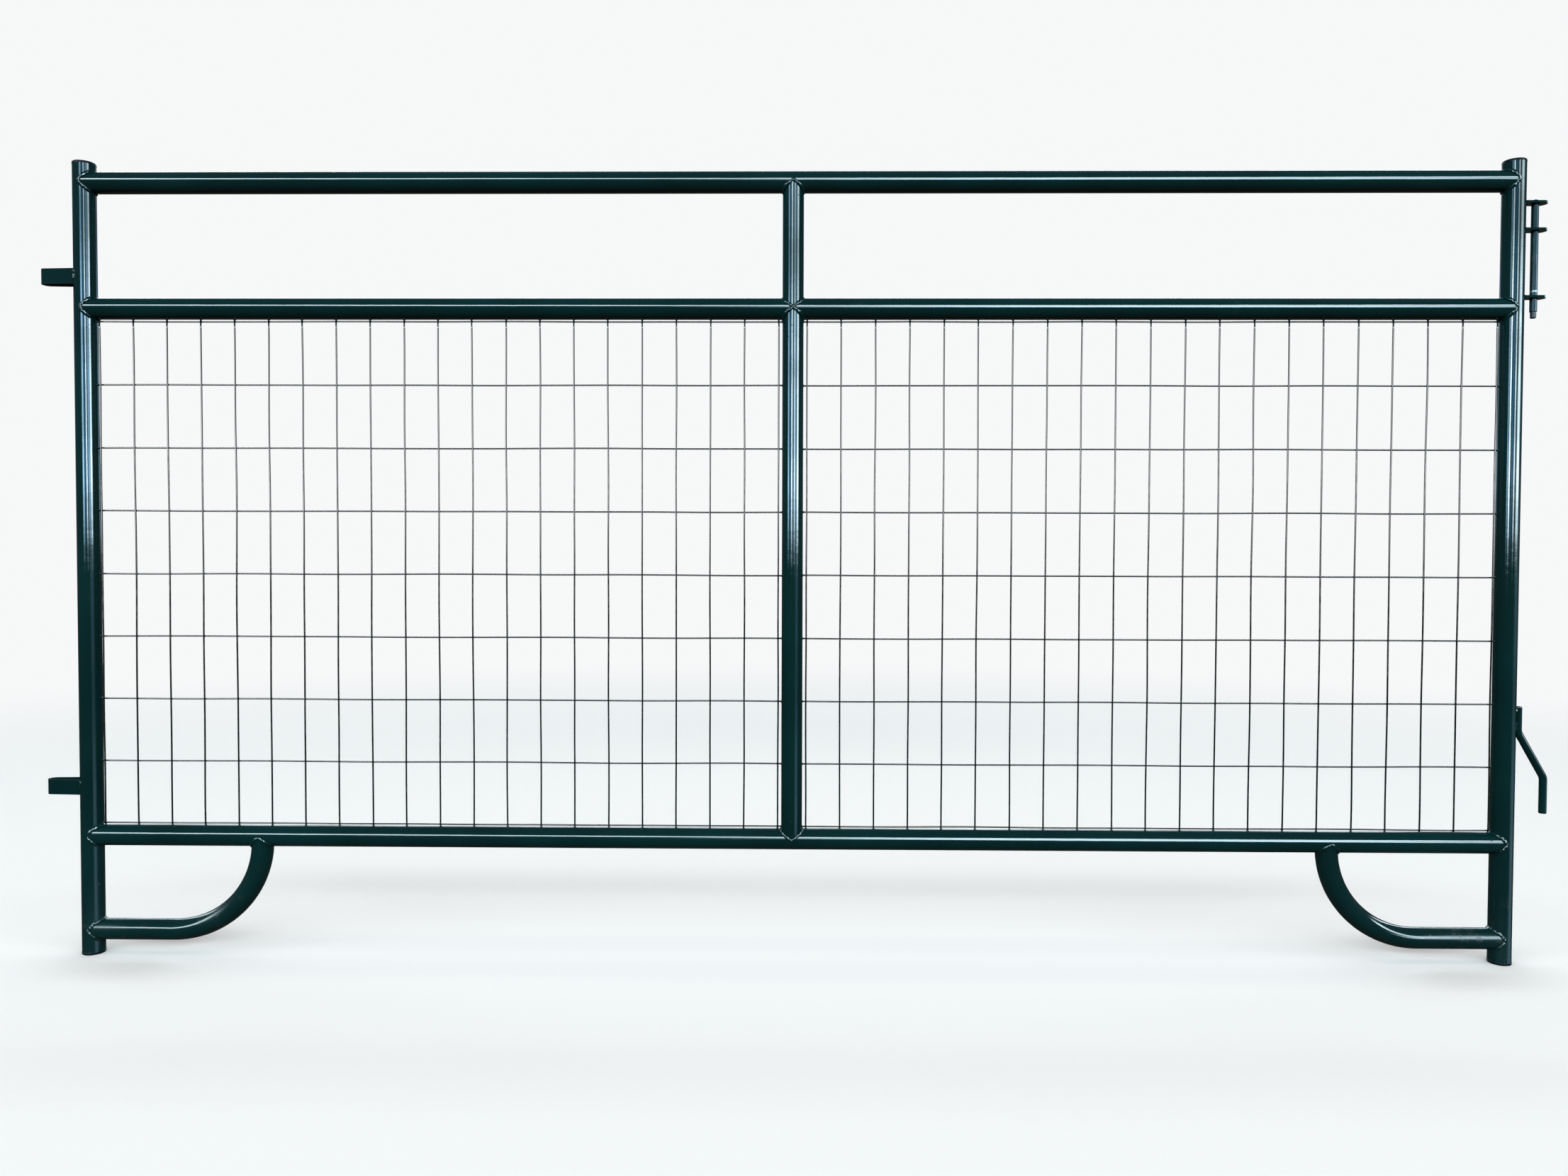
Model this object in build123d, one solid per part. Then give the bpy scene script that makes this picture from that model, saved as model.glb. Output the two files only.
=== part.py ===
"""A livestock panel gate: a round-tube frame filled with welded wire, with loops, a hook and a drop pin.

Millimetres, +X along the panel towards the latch side, +Y to the rear, +Z up. The origin is on the
ground, midway between the two end posts.
"""
from build123d import *
import os

# Frame
LENGTH = 3048.0            # over the two end posts, 10 ft
POST_TUBE_LENGTH = 1676.4  # 5 ft 6 in
CAP_LIP_HEIGHT = 4.0
TUBE_DIAMETER = 44.45      # 1 3/4 in
TUBE_WALL = 2.0
TOP_RAIL_Z = 1642.0        # heights of the tube axes
MIDDLE_RAIL_Z = 1377.5
BOTTOM_RAIL_Z = 255.0
FOOT_Z = 51.5
BOW_LEG_OFFSET = 368.0     # from the post axis to the axis of the bow's upright leg
BOW_BEND_RADIUS = 190.0
EAR_TRIM = 2.0             # a coped end's sharp ears stop this far short of the tube it meets

# Plastic caps in the post ends
CAP_LIP_DIAMETER = 45.2
CAP_LIP_ROUNDING = 1.8
CAP_PLUG_DEPTH = 18.0
CAP_PLUG_WALL = 2.2
CAP_PLUG_PLAY = 0.1

# Wire infill
WIRE_DIAMETER = 3.4
WIRES_UPRIGHT = 21
WIRES_LEVEL = 9
EDGE_GAP_SIDE = 7.5        # from a post or the stile to the nearest upright wire's axis
EDGE_GAP_RAIL = 4.0        # from a rail to the nearest level wire's axis

# Coupling loops of flat bar, on the left post
END_REACH = 70.0           # how far the loops and the hook stand out from their posts
LOOP_BAR_HEIGHT = 31.75
LOOP_BAR_THICKNESS = 4.8
LOOP_TIP_RADIUS = 13.0
LOOP_BASE_RADIUS = 18.0
UPPER_LOOP_Z = 1444.0
LOWER_LOOP_Z = 360.0

# Latch plates and drop pin, on the right post
PLATE_DEPTH = 25.4
PLATE_THICKNESS = 4.8
PLATE_REACH = 46.0
TOP_PLATE_Z = 1597.3       # heights of the plates' mid planes
MIDDLE_PLATE_Z = 1541.1
LOWER_PLATE_Z = 1401.6
PIN_DIAMETER = 14.0
PIN_HOLE_DIAMETER = 15.5
PIN_OFFSET = 44.5          # from the post axis to the pin axis
PIN_SHOULDER_Z = 1371.0
PIN_NOSE_DIAMETER = 11.3
PIN_NOSE_LENGTH = 12.6
PIN_CHAMFER = 1.2
PIN_HEAD_DIAMETER = 17.0
PIN_HEAD_RIM = 1.0
PIN_HEAD_CROWN = 4.0

# Hook rod, on the right post
HOOK_DIAMETER = 15.0
HOOK_TOP_Z = 545.0
HOOK_UPPER_BEND_Z = 491.0
HOOK_LOWER_BEND_Z = 395.0
HOOK_END_Z = 318.5
HOOK_BEND_RADIUS = 24.0
HOOK_END_ROUNDING = 2.0

# Worked out from the above
TUBE_RADIUS = TUBE_DIAMETER / 2
WIRE_RADIUS = WIRE_DIAMETER / 2
POST_X = LENGTH / 2 - TUBE_RADIUS
HEIGHT = POST_TUBE_LENGTH + 2 * CAP_LIP_HEIGHT


def ring(radius, wall):
    """The cross-section of a round tube."""
    return Circle(radius) - Circle(radius - wall)


def upright_tube(x, low, high):
    """A straight tube that stands at x, from one height to another."""
    return Pos(x, 0, low) * extrude(ring(TUBE_RADIUS, TUBE_WALL), high - low)


def upright_saddle(x):
    """The space that a tube welded to the side of an upright at x is coped to clear."""
    column = Cylinder(TUBE_RADIUS, 2 * HEIGHT)
    ears = Box(2 * EAR_TRIM, 2 * TUBE_DIAMETER, 2 * HEIGHT)
    return Pos(x, 0, 0) * (column + ears)


def rail_saddle(z):
    """The space that a tube welded above or below a rail at height z is coped to clear."""
    beam = Rot(0, 90, 0) * Cylinder(TUBE_RADIUS, LENGTH)
    ears = Box(LENGTH, 2 * TUBE_DIAMETER, 2 * EAR_TRIM)
    return Pos(0, 0, z) * (beam + ears)


def post(x):
    return upright_tube(x, CAP_LIP_HEIGHT, CAP_LIP_HEIGHT + POST_TUBE_LENGTH)


def rail(z):
    """A rail from post to post, coped at both ends."""
    blank = Rot(0, 90, 0) * (Cylinder(TUBE_RADIUS, 2 * POST_X) - Cylinder(TUBE_RADIUS - TUBE_WALL, 2 * POST_X))
    return Pos(0, 0, z) * blank - upright_saddle(-POST_X) - upright_saddle(POST_X)


def stile(low_rail_z, high_rail_z):
    """The centre upright between two rails, coped at both ends."""
    blank = upright_tube(0, low_rail_z, high_rail_z)
    return blank - rail_saddle(low_rail_z) - rail_saddle(high_rail_z)


def foot_bow(side):
    """A bent tube from the underside of the bottom rail round to the foot of a post."""
    leg_x = side * (POST_X - BOW_LEG_OFFSET)
    corners = [(leg_x, 0, BOTTOM_RAIL_Z), (leg_x, 0, FOOT_Z), (side * POST_X, 0, FOOT_Z)]
    path = FilletPolyline(*corners, radius=BOW_BEND_RADIUS)
    section = Plane(origin=path @ 0, z_dir=path % 0) * ring(TUBE_RADIUS, TUBE_WALL)
    return sweep(section, path) - rail_saddle(BOTTOM_RAIL_Z) - upright_saddle(side * POST_X)


def post_cap(x, lip_outside_z, inward):
    """A push-in cap: a lip the width of the tube and a hollow plug; inward is +1 upward or -1 downward."""
    lip = extrude(Circle(CAP_LIP_DIAMETER / 2), CAP_LIP_HEIGHT)
    lip = fillet(lip.edges().sort_by(Axis.Z)[0], CAP_LIP_ROUNDING)
    plug_radius = TUBE_RADIUS - TUBE_WALL - CAP_PLUG_PLAY
    plug = Pos(0, 0, CAP_LIP_HEIGHT) * extrude(ring(plug_radius, CAP_PLUG_WALL), CAP_PLUG_DEPTH)
    turned = Rot(0 if inward > 0 else 180, 0, 0)
    return Pos(x, 0, lip_outside_z) * turned * (lip + plug)


def upright_wires(side):
    """One bay's upright wires, just in front of the frame's mid plane, coped to both rails."""
    blank = Pos(0, -WIRE_RADIUS, BOTTOM_RAIL_Z) * extrude(Circle(WIRE_RADIUS), MIDDLE_RAIL_Z - BOTTOM_RAIL_Z)
    wire = blank - rail_saddle(BOTTOM_RAIL_Z) - rail_saddle(MIDDLE_RAIL_Z)
    first = TUBE_RADIUS + EDGE_GAP_SIDE
    last = POST_X - TUBE_RADIUS - EDGE_GAP_SIDE
    pitch = (last - first) / (WIRES_UPRIGHT - 1)
    return Compound(children=[Pos(side * (first + n * pitch), 0, 0) * wire for n in range(WIRES_UPRIGHT)])


def level_wires(side):
    """One bay's level wires, just behind the frame's mid plane, coped to the post and the stile."""
    blank = Pos(side * POST_X / 2, WIRE_RADIUS, 0) * Rot(0, 90, 0) * Cylinder(WIRE_RADIUS, POST_X)
    wire = blank - upright_saddle(0) - upright_saddle(side * POST_X)
    first = BOTTOM_RAIL_Z + TUBE_RADIUS + EDGE_GAP_RAIL
    last = MIDDLE_RAIL_Z - TUBE_RADIUS - EDGE_GAP_RAIL
    pitch = (last - first) / (WIRES_LEVEL - 1)
    return Compound(children=[Pos(0, 0, first + n * pitch) * wire for n in range(WIRES_LEVEL)])


def loop_outline(tip_radius, base_radius):
    """A tapered eye: straight sides tangent to a small circle at the tip and a larger one at the post axis."""
    tip_centre = TUBE_RADIUS + END_REACH - LOOP_TIP_RADIUS
    tip = Pos(-tip_centre, 0) * Circle(tip_radius)
    return make_hull([*tip.edges(), *Circle(base_radius).edges()])


def coupling_loop(z):
    """A flat bar bent into a tapered eye, with its two ends welded to the left post."""
    outer = loop_outline(LOOP_TIP_RADIUS, LOOP_BASE_RADIUS)
    inner = loop_outline(LOOP_TIP_RADIUS - LOOP_BAR_THICKNESS, LOOP_BASE_RADIUS - LOOP_BAR_THICKNESS)
    bar = extrude(outer - inner, LOOP_BAR_HEIGHT / 2, both=True)
    legs = bar - Cylinder(TUBE_RADIUS, 2 * LOOP_BAR_HEIGHT)
    return Pos(-POST_X, 0, z) * legs


def latch_plate(z):
    """A round-ended plate welded to the right post, drilled for the pin."""
    round_centre = TUBE_RADIUS + PLATE_REACH - PLATE_DEPTH / 2
    outline = Pos(round_centre / 2, 0) * Rectangle(round_centre, PLATE_DEPTH)
    outline += Pos(round_centre, 0) * Circle(PLATE_DEPTH / 2)
    outline -= Pos(PIN_OFFSET, 0) * Circle(PIN_HOLE_DIAMETER / 2)
    plate = extrude(outline, PLATE_THICKNESS / 2, both=True) - Cylinder(TUBE_RADIUS, 2 * PLATE_DEPTH)
    return Pos(POST_X, 0, z) * plate


def latch_pin():
    """The drop pin: a bar that hangs by its domed head on the top plate, with a turned-down nose."""
    seat_z = TOP_PLATE_Z + PLATE_THICKNESS / 2
    shank_length = seat_z - PIN_SHOULDER_Z
    shank = extrude(Circle(PIN_DIAMETER / 2), shank_length)
    shank = chamfer(shank.edges().sort_by(Axis.Z)[0], PIN_CHAMFER)
    nose = Pos(0, 0, -PIN_NOSE_LENGTH) * extrude(Circle(PIN_NOSE_DIAMETER / 2), PIN_NOSE_LENGTH)
    nose = chamfer(nose.edges().sort_by(Axis.Z)[0], PIN_CHAMFER)
    head_radius = PIN_HEAD_DIAMETER / 2
    dome_radius = (head_radius ** 2 + PIN_HEAD_CROWN ** 2) / (2 * PIN_HEAD_CROWN)
    head_height = PIN_HEAD_RIM + PIN_HEAD_CROWN
    head = extrude(Circle(head_radius), head_height) & Pos(0, 0, head_height - dome_radius) * Sphere(dome_radius)
    return Pos(POST_X + PIN_OFFSET, 0, PIN_SHOULDER_Z) * (shank + nose + Pos(0, 0, shank_length) * head)


def hook_rod():
    """A round rod welded upright to the right post, cranked outward and down to a free end."""
    rod_radius = HOOK_DIAMETER / 2
    welded_x = POST_X + TUBE_RADIUS + rod_radius
    free_x = POST_X + TUBE_RADIUS + END_REACH - rod_radius
    corners = [
        (welded_x, 0, HOOK_TOP_Z),
        (welded_x, 0, HOOK_UPPER_BEND_Z),
        (free_x, 0, HOOK_LOWER_BEND_Z),
        (free_x, 0, HOOK_END_Z),
    ]
    path = FilletPolyline(*corners, radius=HOOK_BEND_RADIUS)
    section = Plane(origin=path @ 0, z_dir=path % 0) * Circle(rod_radius)
    rod = sweep(section, path)
    ends = rod.edges().filter_by(GeomType.CIRCLE).sort_by(Axis.Z)
    return fillet([ends[0], ends[-1]], HOOK_END_ROUNDING)


def write(name, shape):
    shape.label = name
    export_step(shape, f"parts/{name}.step")


os.makedirs("parts", exist_ok=True)
for side_name, side in (("left", -1), ("right", 1)):
    write(f"{side_name}_post", post(side * POST_X))
    write(f"{side_name}_post_top_cap", post_cap(side * POST_X, HEIGHT, -1))
    write(f"{side_name}_post_foot_cap", post_cap(side * POST_X, 0, 1))
    write(f"{side_name}_foot_bow", foot_bow(side))
    write(f"{side_name}_upright_wires", upright_wires(side))
    write(f"{side_name}_level_wires", level_wires(side))
write("top_rail", rail(TOP_RAIL_Z))
write("middle_rail", rail(MIDDLE_RAIL_Z))
write("bottom_rail", rail(BOTTOM_RAIL_Z))
write("upper_stile", stile(MIDDLE_RAIL_Z, TOP_RAIL_Z))
write("lower_stile", stile(BOTTOM_RAIL_Z, MIDDLE_RAIL_Z))
write("upper_loop", coupling_loop(UPPER_LOOP_Z))
write("lower_loop", coupling_loop(LOWER_LOOP_Z))
write("top_latch_plate", latch_plate(TOP_PLATE_Z))
write("middle_latch_plate", latch_plate(MIDDLE_PLATE_Z))
write("lower_latch_plate", latch_plate(LOWER_PLATE_Z))
write("latch_pin", latch_pin())
write("hook_rod", hook_rod())
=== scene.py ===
import math
import random

import bmesh
import bpy
from mathutils import Matrix, Vector, noise


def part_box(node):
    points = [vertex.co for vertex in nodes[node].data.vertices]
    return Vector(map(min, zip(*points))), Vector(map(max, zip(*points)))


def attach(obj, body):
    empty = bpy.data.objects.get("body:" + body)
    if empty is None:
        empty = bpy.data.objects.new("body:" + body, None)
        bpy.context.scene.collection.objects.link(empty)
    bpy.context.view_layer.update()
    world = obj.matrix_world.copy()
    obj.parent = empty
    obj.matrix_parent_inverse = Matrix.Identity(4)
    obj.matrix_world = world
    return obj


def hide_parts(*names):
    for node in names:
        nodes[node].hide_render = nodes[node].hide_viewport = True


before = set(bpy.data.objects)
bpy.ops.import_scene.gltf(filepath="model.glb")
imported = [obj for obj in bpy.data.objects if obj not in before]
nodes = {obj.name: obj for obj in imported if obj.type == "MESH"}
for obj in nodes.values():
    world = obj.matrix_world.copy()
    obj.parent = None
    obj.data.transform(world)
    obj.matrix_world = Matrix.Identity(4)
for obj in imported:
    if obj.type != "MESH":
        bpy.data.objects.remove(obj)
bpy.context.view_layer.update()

# ---------------------------------------------------------------- places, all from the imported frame
MM = 0.001
LEFT, RIGHT = -1, 1
SIDES = {LEFT: "left", RIGHT: "right"}


def centre_of(node):
    low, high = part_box(node)
    return (low + high) / 2


def width_of(node, axis):
    low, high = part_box(node)
    return high[axis] - low[axis]


POST_X = centre_of("right_post").x
TUBE_R = width_of("right_post", 0) / 2
TOP_Z = centre_of("top_rail").z
MIDDLE_Z = centre_of("middle_rail").z
BOTTOM_Z = centre_of("bottom_rail").z
FOOT_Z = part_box("left_foot_bow")[0].z + TUBE_R
BOW_LEG_X = -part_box("left_foot_bow")[1].x + TUBE_R
WIRE_R = width_of("left_upright_wires", 1) / 2
X, Y, Z = Vector((1, 0, 0)), Vector((0, 1, 0)), Vector((0, 0, 1))


# ---------------------------------------------------------------- node helpers
class Nodes:
    """A node tree, with one short call for each kind of node used here."""

    def __init__(self, tree):
        self.tree = tree

    def new(self, kind):
        return self.tree.nodes.new(kind)

    def link(self, source, socket):
        self.tree.links.new(source, socket)

    def feed(self, socket, value):
        """Gives a socket a number, a colour, or the output of another node."""
        if isinstance(value, tuple):
            socket.default_value = (*value, 1.0)
        elif isinstance(value, (int, float)):
            socket.default_value = value
        else:
            self.link(value, socket)

    def ramp(self, value, low, high, out_low=0.0, out_high=1.0):
        """value from low to high becomes out_low to out_high, with a smooth turn at both ends."""
        node = self.new("ShaderNodeMapRange")
        node.interpolation_type = "SMOOTHSTEP"
        self.link(value, node.inputs["Value"])
        for name, number in (("From Min", low), ("From Max", high), ("To Min", out_low), ("To Max", out_high)):
            node.inputs[name].default_value = number
        return node.outputs["Result"]

    def maths(self, operation, a, b=0.0):
        node = self.new("ShaderNodeMath")
        node.operation = operation
        for socket, value in zip(node.inputs, (a, b)):
            self.feed(socket, value)
        return node.outputs["Value"]

    def mix(self, factor, first, second):
        """A colour between two colours."""
        node = self.new("ShaderNodeMix")
        node.data_type = "RGBA"
        self.link(factor, node.inputs["Factor"])
        for socket, value in zip((s for s in node.inputs if s.type == "RGBA"), (first, second)):
            self.feed(socket, value)
        return next(s for s in node.outputs if s.type == "RGBA")

    def component(self, source, axis):
        node = self.new("ShaderNodeSeparateXYZ")
        self.link(source, node.inputs[0])
        return node.outputs[axis]


class Shader(Nodes):
    """A Principled material's nodes, textured in the panel's own metres."""

    def __init__(self, name):
        self.material = bpy.data.materials.new(name)
        self.material.use_nodes = True
        super().__init__(self.material.node_tree)
        self.bsdf = self.tree.nodes["Principled BSDF"]
        self.place = self.new("ShaderNodeTexCoord").outputs["Object"]

    def drive(self, name, source):
        self.link(source, self.bsdf.inputs[name])

    def set(self, **values):
        for name, value in values.items():
            self.bsdf.inputs[name.replace("_", " ")].default_value = value

    def noise(self, scale, detail=2.0, roughness=0.5, stretch=(1, 1, 1)):
        """Noise with about scale features to the metre, drawn out along an axis whose stretch is small."""
        mapping = self.new("ShaderNodeMapping")
        mapping.inputs["Scale"].default_value = stretch
        self.link(self.place, mapping.inputs["Vector"])
        node = self.new("ShaderNodeTexNoise")
        for name, number in (("Scale", scale), ("Detail", detail), ("Roughness", roughness)):
            node.inputs[name].default_value = number
        self.link(mapping.outputs["Vector"], node.inputs["Vector"])
        return node.outputs["Fac"]

    def normal(self):
        return self.new("ShaderNodeNewGeometry").outputs["Normal"]

    def bump(self, height, distance, under=None):
        node = self.new("ShaderNodeBump")
        node.inputs["Distance"].default_value = distance
        self.link(height, node.inputs["Height"])
        if under is not None:
            self.link(under, node.inputs["Normal"])
        return node.outputs["Normal"]


# ---------------------------------------------------------------- materials
TEAL = (0.0010, 0.0208, 0.0214)
TEAL_DEEP = (0.0006, 0.0154, 0.0162)
TEAL_RUBBED = (0.030, 0.060, 0.062)
DUST = (0.100, 0.110, 0.100)
GRIME = (0.020, 0.017, 0.012)
BARE_STEEL = (0.30, 0.31, 0.32)
NOSE_BLACK = (0.006, 0.0065, 0.006)
WIRE_DEEP = (0.0022, 0.0050, 0.0052)
WIRE_TEAL = (0.0035, 0.0095, 0.0098)
ZINC = (0.090, 0.088, 0.082)
CAP_BLACK = (0.0030, 0.0030, 0.0065)
CAP_SCUFFED = (0.010, 0.010, 0.014)

TUBE_ROUGHNESS = 0.035
WELD_ROUGHNESS = 0.06
GRAIN_UP = (1, 1, 0.05)
GRAIN_ALONG = (0.05, 1, 1)

SPLASH_TOP = 0.36                       # metres above the ground
RING_ABOVE_PLATE = 9.7 * MM             # from the lower plate to the middle of the pin's rubbed ring
RING_EDGES = (3.1 * MM, 2.3 * MM)       # from the ring's middle, where it starts and where it is bare
NOSE_EDGES = (13.2 * MM, 12.4 * MM)     # above the pin's end
SOFT_EDGE = 0.7 * MM                    # of flat bar


def powder_coat(name, roughness=TUBE_ROUGHNESS, grain=None):
    """Gloss powder coat: deep teal in soft patches, faint orange peel, long low waves, dust and splashes.

    grain is the stretch of the faint drawing lines that show through along a straight tube.
    """
    s = Shader(name)
    patches = s.ramp(s.noise(5.0, 4.0), 0.35, 0.68)
    facing_up = s.ramp(s.component(s.normal(), "Z"), 0.70, 1.0)
    dust = s.maths("MULTIPLY", facing_up, s.ramp(s.noise(160.0, 5.0, 0.65), 0.50, 0.74, 0.0, 0.08))
    near_ground = s.ramp(s.component(s.place, "Z"), SPLASH_TOP, 0.01)
    grime = s.maths("MULTIPLY", near_ground, s.ramp(s.noise(42.0, 6.0, 0.7), 0.52, 0.76, 0.0, 0.50))
    rubbed = s.ramp(s.noise(9.0, 6.0, 0.72), 0.62, 0.72, 0.0, 0.12)
    colour = s.mix(patches, TEAL_DEEP, TEAL)
    for mask, tint in ((dust, DUST), (grime, GRIME), (rubbed, TEAL_RUBBED)):
        colour = s.mix(mask, colour, tint)
    s.drive("Base Color", colour)

    cloud = s.ramp(s.noise(14.0, 3.0), 0.3, 0.75, roughness, 2.2 * roughness)
    film = s.maths("MULTIPLY", near_ground, s.ramp(s.noise(6.0, 3.0), 0.35, 0.6, 0.04, 0.20))
    marks = s.maths("MULTIPLY", s.maths("ADD", dust, s.maths("ADD", grime, rubbed)), 0.6)
    s.drive("Roughness", s.maths("ADD", s.maths("ADD", cloud, film), marks))

    relief = s.bump(s.noise(26.0, 3.0), 0.24 * MM)
    if grain:
        relief = s.bump(s.noise(170.0, 2.0, 0.5, grain), 0.045 * MM, relief)
    s.drive("Normal", s.bump(s.noise(380.0, 2.0), 0.008 * MM, relief))
    s.set(IOR=1.55)
    return s


def wire_coat():
    """Thin powder coat on drawn wire, rubbed to grey zinc in places."""
    s = Shader("wire_coat")
    worn = s.ramp(s.noise(46.0, 5.0, 0.65), 0.56, 0.70, 0.0, 0.55)
    paint = s.mix(s.ramp(s.noise(11.0, 2.0), 0.3, 0.7), WIRE_DEEP, WIRE_TEAL)
    s.drive("Base Color", s.mix(worn, paint, ZINC))
    s.drive("Metallic", s.maths("MULTIPLY", worn, 0.9))
    s.drive("Roughness", s.ramp(s.noise(60.0, 3.0), 0.3, 0.7, 0.10, 0.24))
    s.drive("Normal", s.bump(s.noise(420.0, 3.0), 0.02 * MM))
    s.set(IOR=1.6)
    return s.material


def pin_coat():
    """The frame's paint, scratched, rubbed to steel in a ring above the lower plate, black on the nose."""
    s = powder_coat("pin_coat")
    painted = s.bsdf.inputs["Base Color"].links[0].from_socket
    height = s.component(s.place, "Z")
    ring_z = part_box("lower_latch_plate")[1].z + RING_ABOVE_PLATE
    from_ring = s.maths("ABSOLUTE", s.maths("SUBTRACT", height, ring_z))
    frayed = s.maths("ADD", from_ring, s.maths("MULTIPLY", s.noise(300.0, 3.0), 1.6 * MM))
    ring = s.ramp(frayed, *RING_EDGES)
    scratches = s.ramp(s.noise(90.0, 4.0, 0.6, (6, 6, 0.25)), 0.60, 0.70, 0.0, 0.5)
    steel = s.maths("MAXIMUM", ring, scratches)
    pin_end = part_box("latch_pin")[0].z
    nose = s.ramp(height, *(pin_end + edge for edge in NOSE_EDGES))
    s.drive("Base Color", s.mix(nose, s.mix(steel, painted, BARE_STEEL), NOSE_BLACK))
    s.drive("Metallic", s.maths("MULTIPLY", steel, 0.9))
    s.drive("Roughness", s.maths("ADD", s.maths("MULTIPLY", nose, 0.3), s.ramp(steel, 0, 1, 0.05, 0.22)))
    return s.material


def cap_plastic():
    """Moulded black polyethylene, satin, with fine scuffs."""
    s = Shader("cap_plastic")
    scuffs = s.ramp(s.noise(120.0, 6.0, 0.7, (1, 1, 3)), 0.52, 0.74)
    s.drive("Base Color", s.mix(scuffs, CAP_BLACK, CAP_SCUFFED))
    s.drive("Roughness", s.ramp(s.noise(70.0, 4.0), 0.3, 0.7, 0.28, 0.50))
    s.drive("Normal", s.bump(s.noise(520.0, 3.0), 0.03 * MM))
    s.set(IOR=1.3, Specular_IOR_Level=0.3)
    return s.material


FRAME_COAT = powder_coat("frame_coat").material
UPRIGHT_COAT = powder_coat("upright_coat", grain=GRAIN_UP).material
LEVEL_COAT = powder_coat("level_coat", grain=GRAIN_ALONG).material
WELD_COAT = powder_coat("weld_coat", WELD_ROUGHNESS).material
WIRE_COAT = wire_coat()
PIN_COAT = pin_coat()
CAP_PLASTIC = cap_plastic()

# The first row that ends a CAD node's name gives its material
CAD_COATS = (
    ("_cap", CAP_PLASTIC),
    ("latch_pin", PIN_COAT),
    (("_post", "_stile"), UPRIGHT_COAT),
    ("_rail", LEVEL_COAT),
    ("", FRAME_COAT),
)


def wear(obj, material):
    obj.data.materials.clear()
    obj.data.materials.append(material)


def paint_cad_nodes():
    """Gives every CAD node its material, and softens the edges of flat bar."""
    for name, node in nodes.items():
        wear(node, next(material for ending, material in CAD_COATS if name.endswith(ending)))
        if name.endswith(("_plate", "_loop")):
            soft = node.modifiers.new("soft_edges", "BEVEL")
            soft.width = SOFT_EDGE
            soft.segments = 3
            soft.limit_method = "ANGLE"
            soft.angle_limit = math.radians(50)
            soft.harden_normals = True


# ---------------------------------------------------------------- mesh helpers
def new_piece(name, mesh_data, material, body):
    """A mesh object that rides on a body. mesh_data is a list of (points, faces)."""
    points, faces = [], []
    for some_points, some_faces in mesh_data:
        start = len(points)
        points += some_points
        faces += [tuple(start + i for i in face) for face in some_faces]
    mesh = bpy.data.meshes.new(name)
    mesh.from_pydata(points, [], faces)
    mesh.validate()
    bm = bmesh.new()
    bm.from_mesh(mesh)
    bmesh.ops.recalc_face_normals(bm, faces=bm.faces)
    bm.to_mesh(mesh)
    bm.free()
    for polygon in mesh.polygons:
        polygon.use_smooth = True
    obj = bpy.data.objects.new(name, mesh)
    bpy.context.scene.collection.objects.link(obj)
    wear(obj, material)
    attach(obj, body)
    return obj


def skin(rings, closed):
    """Quads between equal rings of points. An open run of rings is closed off with a flat face at each end."""
    count = len(rings[0])
    points = [p for ring in rings for p in ring]
    faces = []
    spans = len(rings) if closed else len(rings) - 1
    for i in range(spans):
        here, there = i * count, ((i + 1) % len(rings)) * count
        for j in range(count):
            k = (j + 1) % count
            faces.append((here + j, here + k, there + k, there + j))
    if not closed:
        faces.append(tuple(range(count)))
        faces.append(tuple((len(rings) - 1) * count + j for j in range(count)))
    return points, faces


def tube_along(points, radius, sides):
    """A round bar along a line of points that never runs front to back."""
    rings = []
    for i, point in enumerate(points):
        along = (points[min(i + 1, len(points) - 1)] - points[max(i - 1, 0)]).normalized()
        side = along.cross(Y).normalized()
        other = side.cross(along)
        ring = []
        for j in range(sides):
            turn = 2 * math.pi * j / sides
            ring.append(point + side * (radius * math.cos(turn)) + other * (radius * math.sin(turn)))
        rings.append(ring)
    return skin(rings, False)


def blob(centre, normal, radius, flat, seed):
    """A lumpy drop of weld metal, flattened along its normal."""
    dice = random.Random(seed)
    bm = bmesh.new()
    bmesh.ops.create_icosphere(bm, subdivisions=2, radius=1.0)
    turn = normal.to_track_quat("Z", "Y").to_matrix()
    shift = Vector((dice.uniform(0, 90), dice.uniform(0, 90), 0))
    points = []
    for vertex in bm.verts:
        lump = 1 + 0.28 * noise.noise(vertex.co * 1.4 + shift)
        points.append(centre + turn @ Vector((vertex.co.x, vertex.co.y, vertex.co.z * flat)) * (radius * lump))
    faces = [tuple(v.index for v in face.verts) for face in bm.faces]
    bm.free()
    return points, faces


# ---------------------------------------------------------------- weld beads
BEAD_STEP = 0.7 * MM        # from one ring of points to the next
FACE_POINTS = 11            # across a bead's face
TOE_DEPTH = 0.7 * MM        # how far a bead's edges are sunk into the parts
ROOT_DEPTH = 1.2 * MM       # how far its hidden underside is
SWELL = 0.26                # how much a bead's size varies
HURRY = 1.1                 # how far its ripples stray from an even pitch, in ripples
END_TAPER = 1.6             # how many legs from its ends an open bead starts to thin
RIPPLE = 0.30               # the height of a ripple on flush parts, as a share of the crown
RIPPLE_LAG = 0.30           # how far a ripple's edges trail behind its middle, in ripples
NOISE_PER_METRE = 160       # along an open bead
NOISE_ROUND_LOOP = 26       # the radius of a closed bead's circle through the noise, for each metre of bead
# The next three are multiplied by corner, which is 0 where the parts run flush and 0.71 where they are square
CORNER_LEG = 0.32           # the part of its leg that the bead loses
CORNER_FILL = 0.60          # how far its face stands out, as a share of what is left
CORNER_RIPPLE = 0.18        # the part of the crown that its ripples lose


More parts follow.
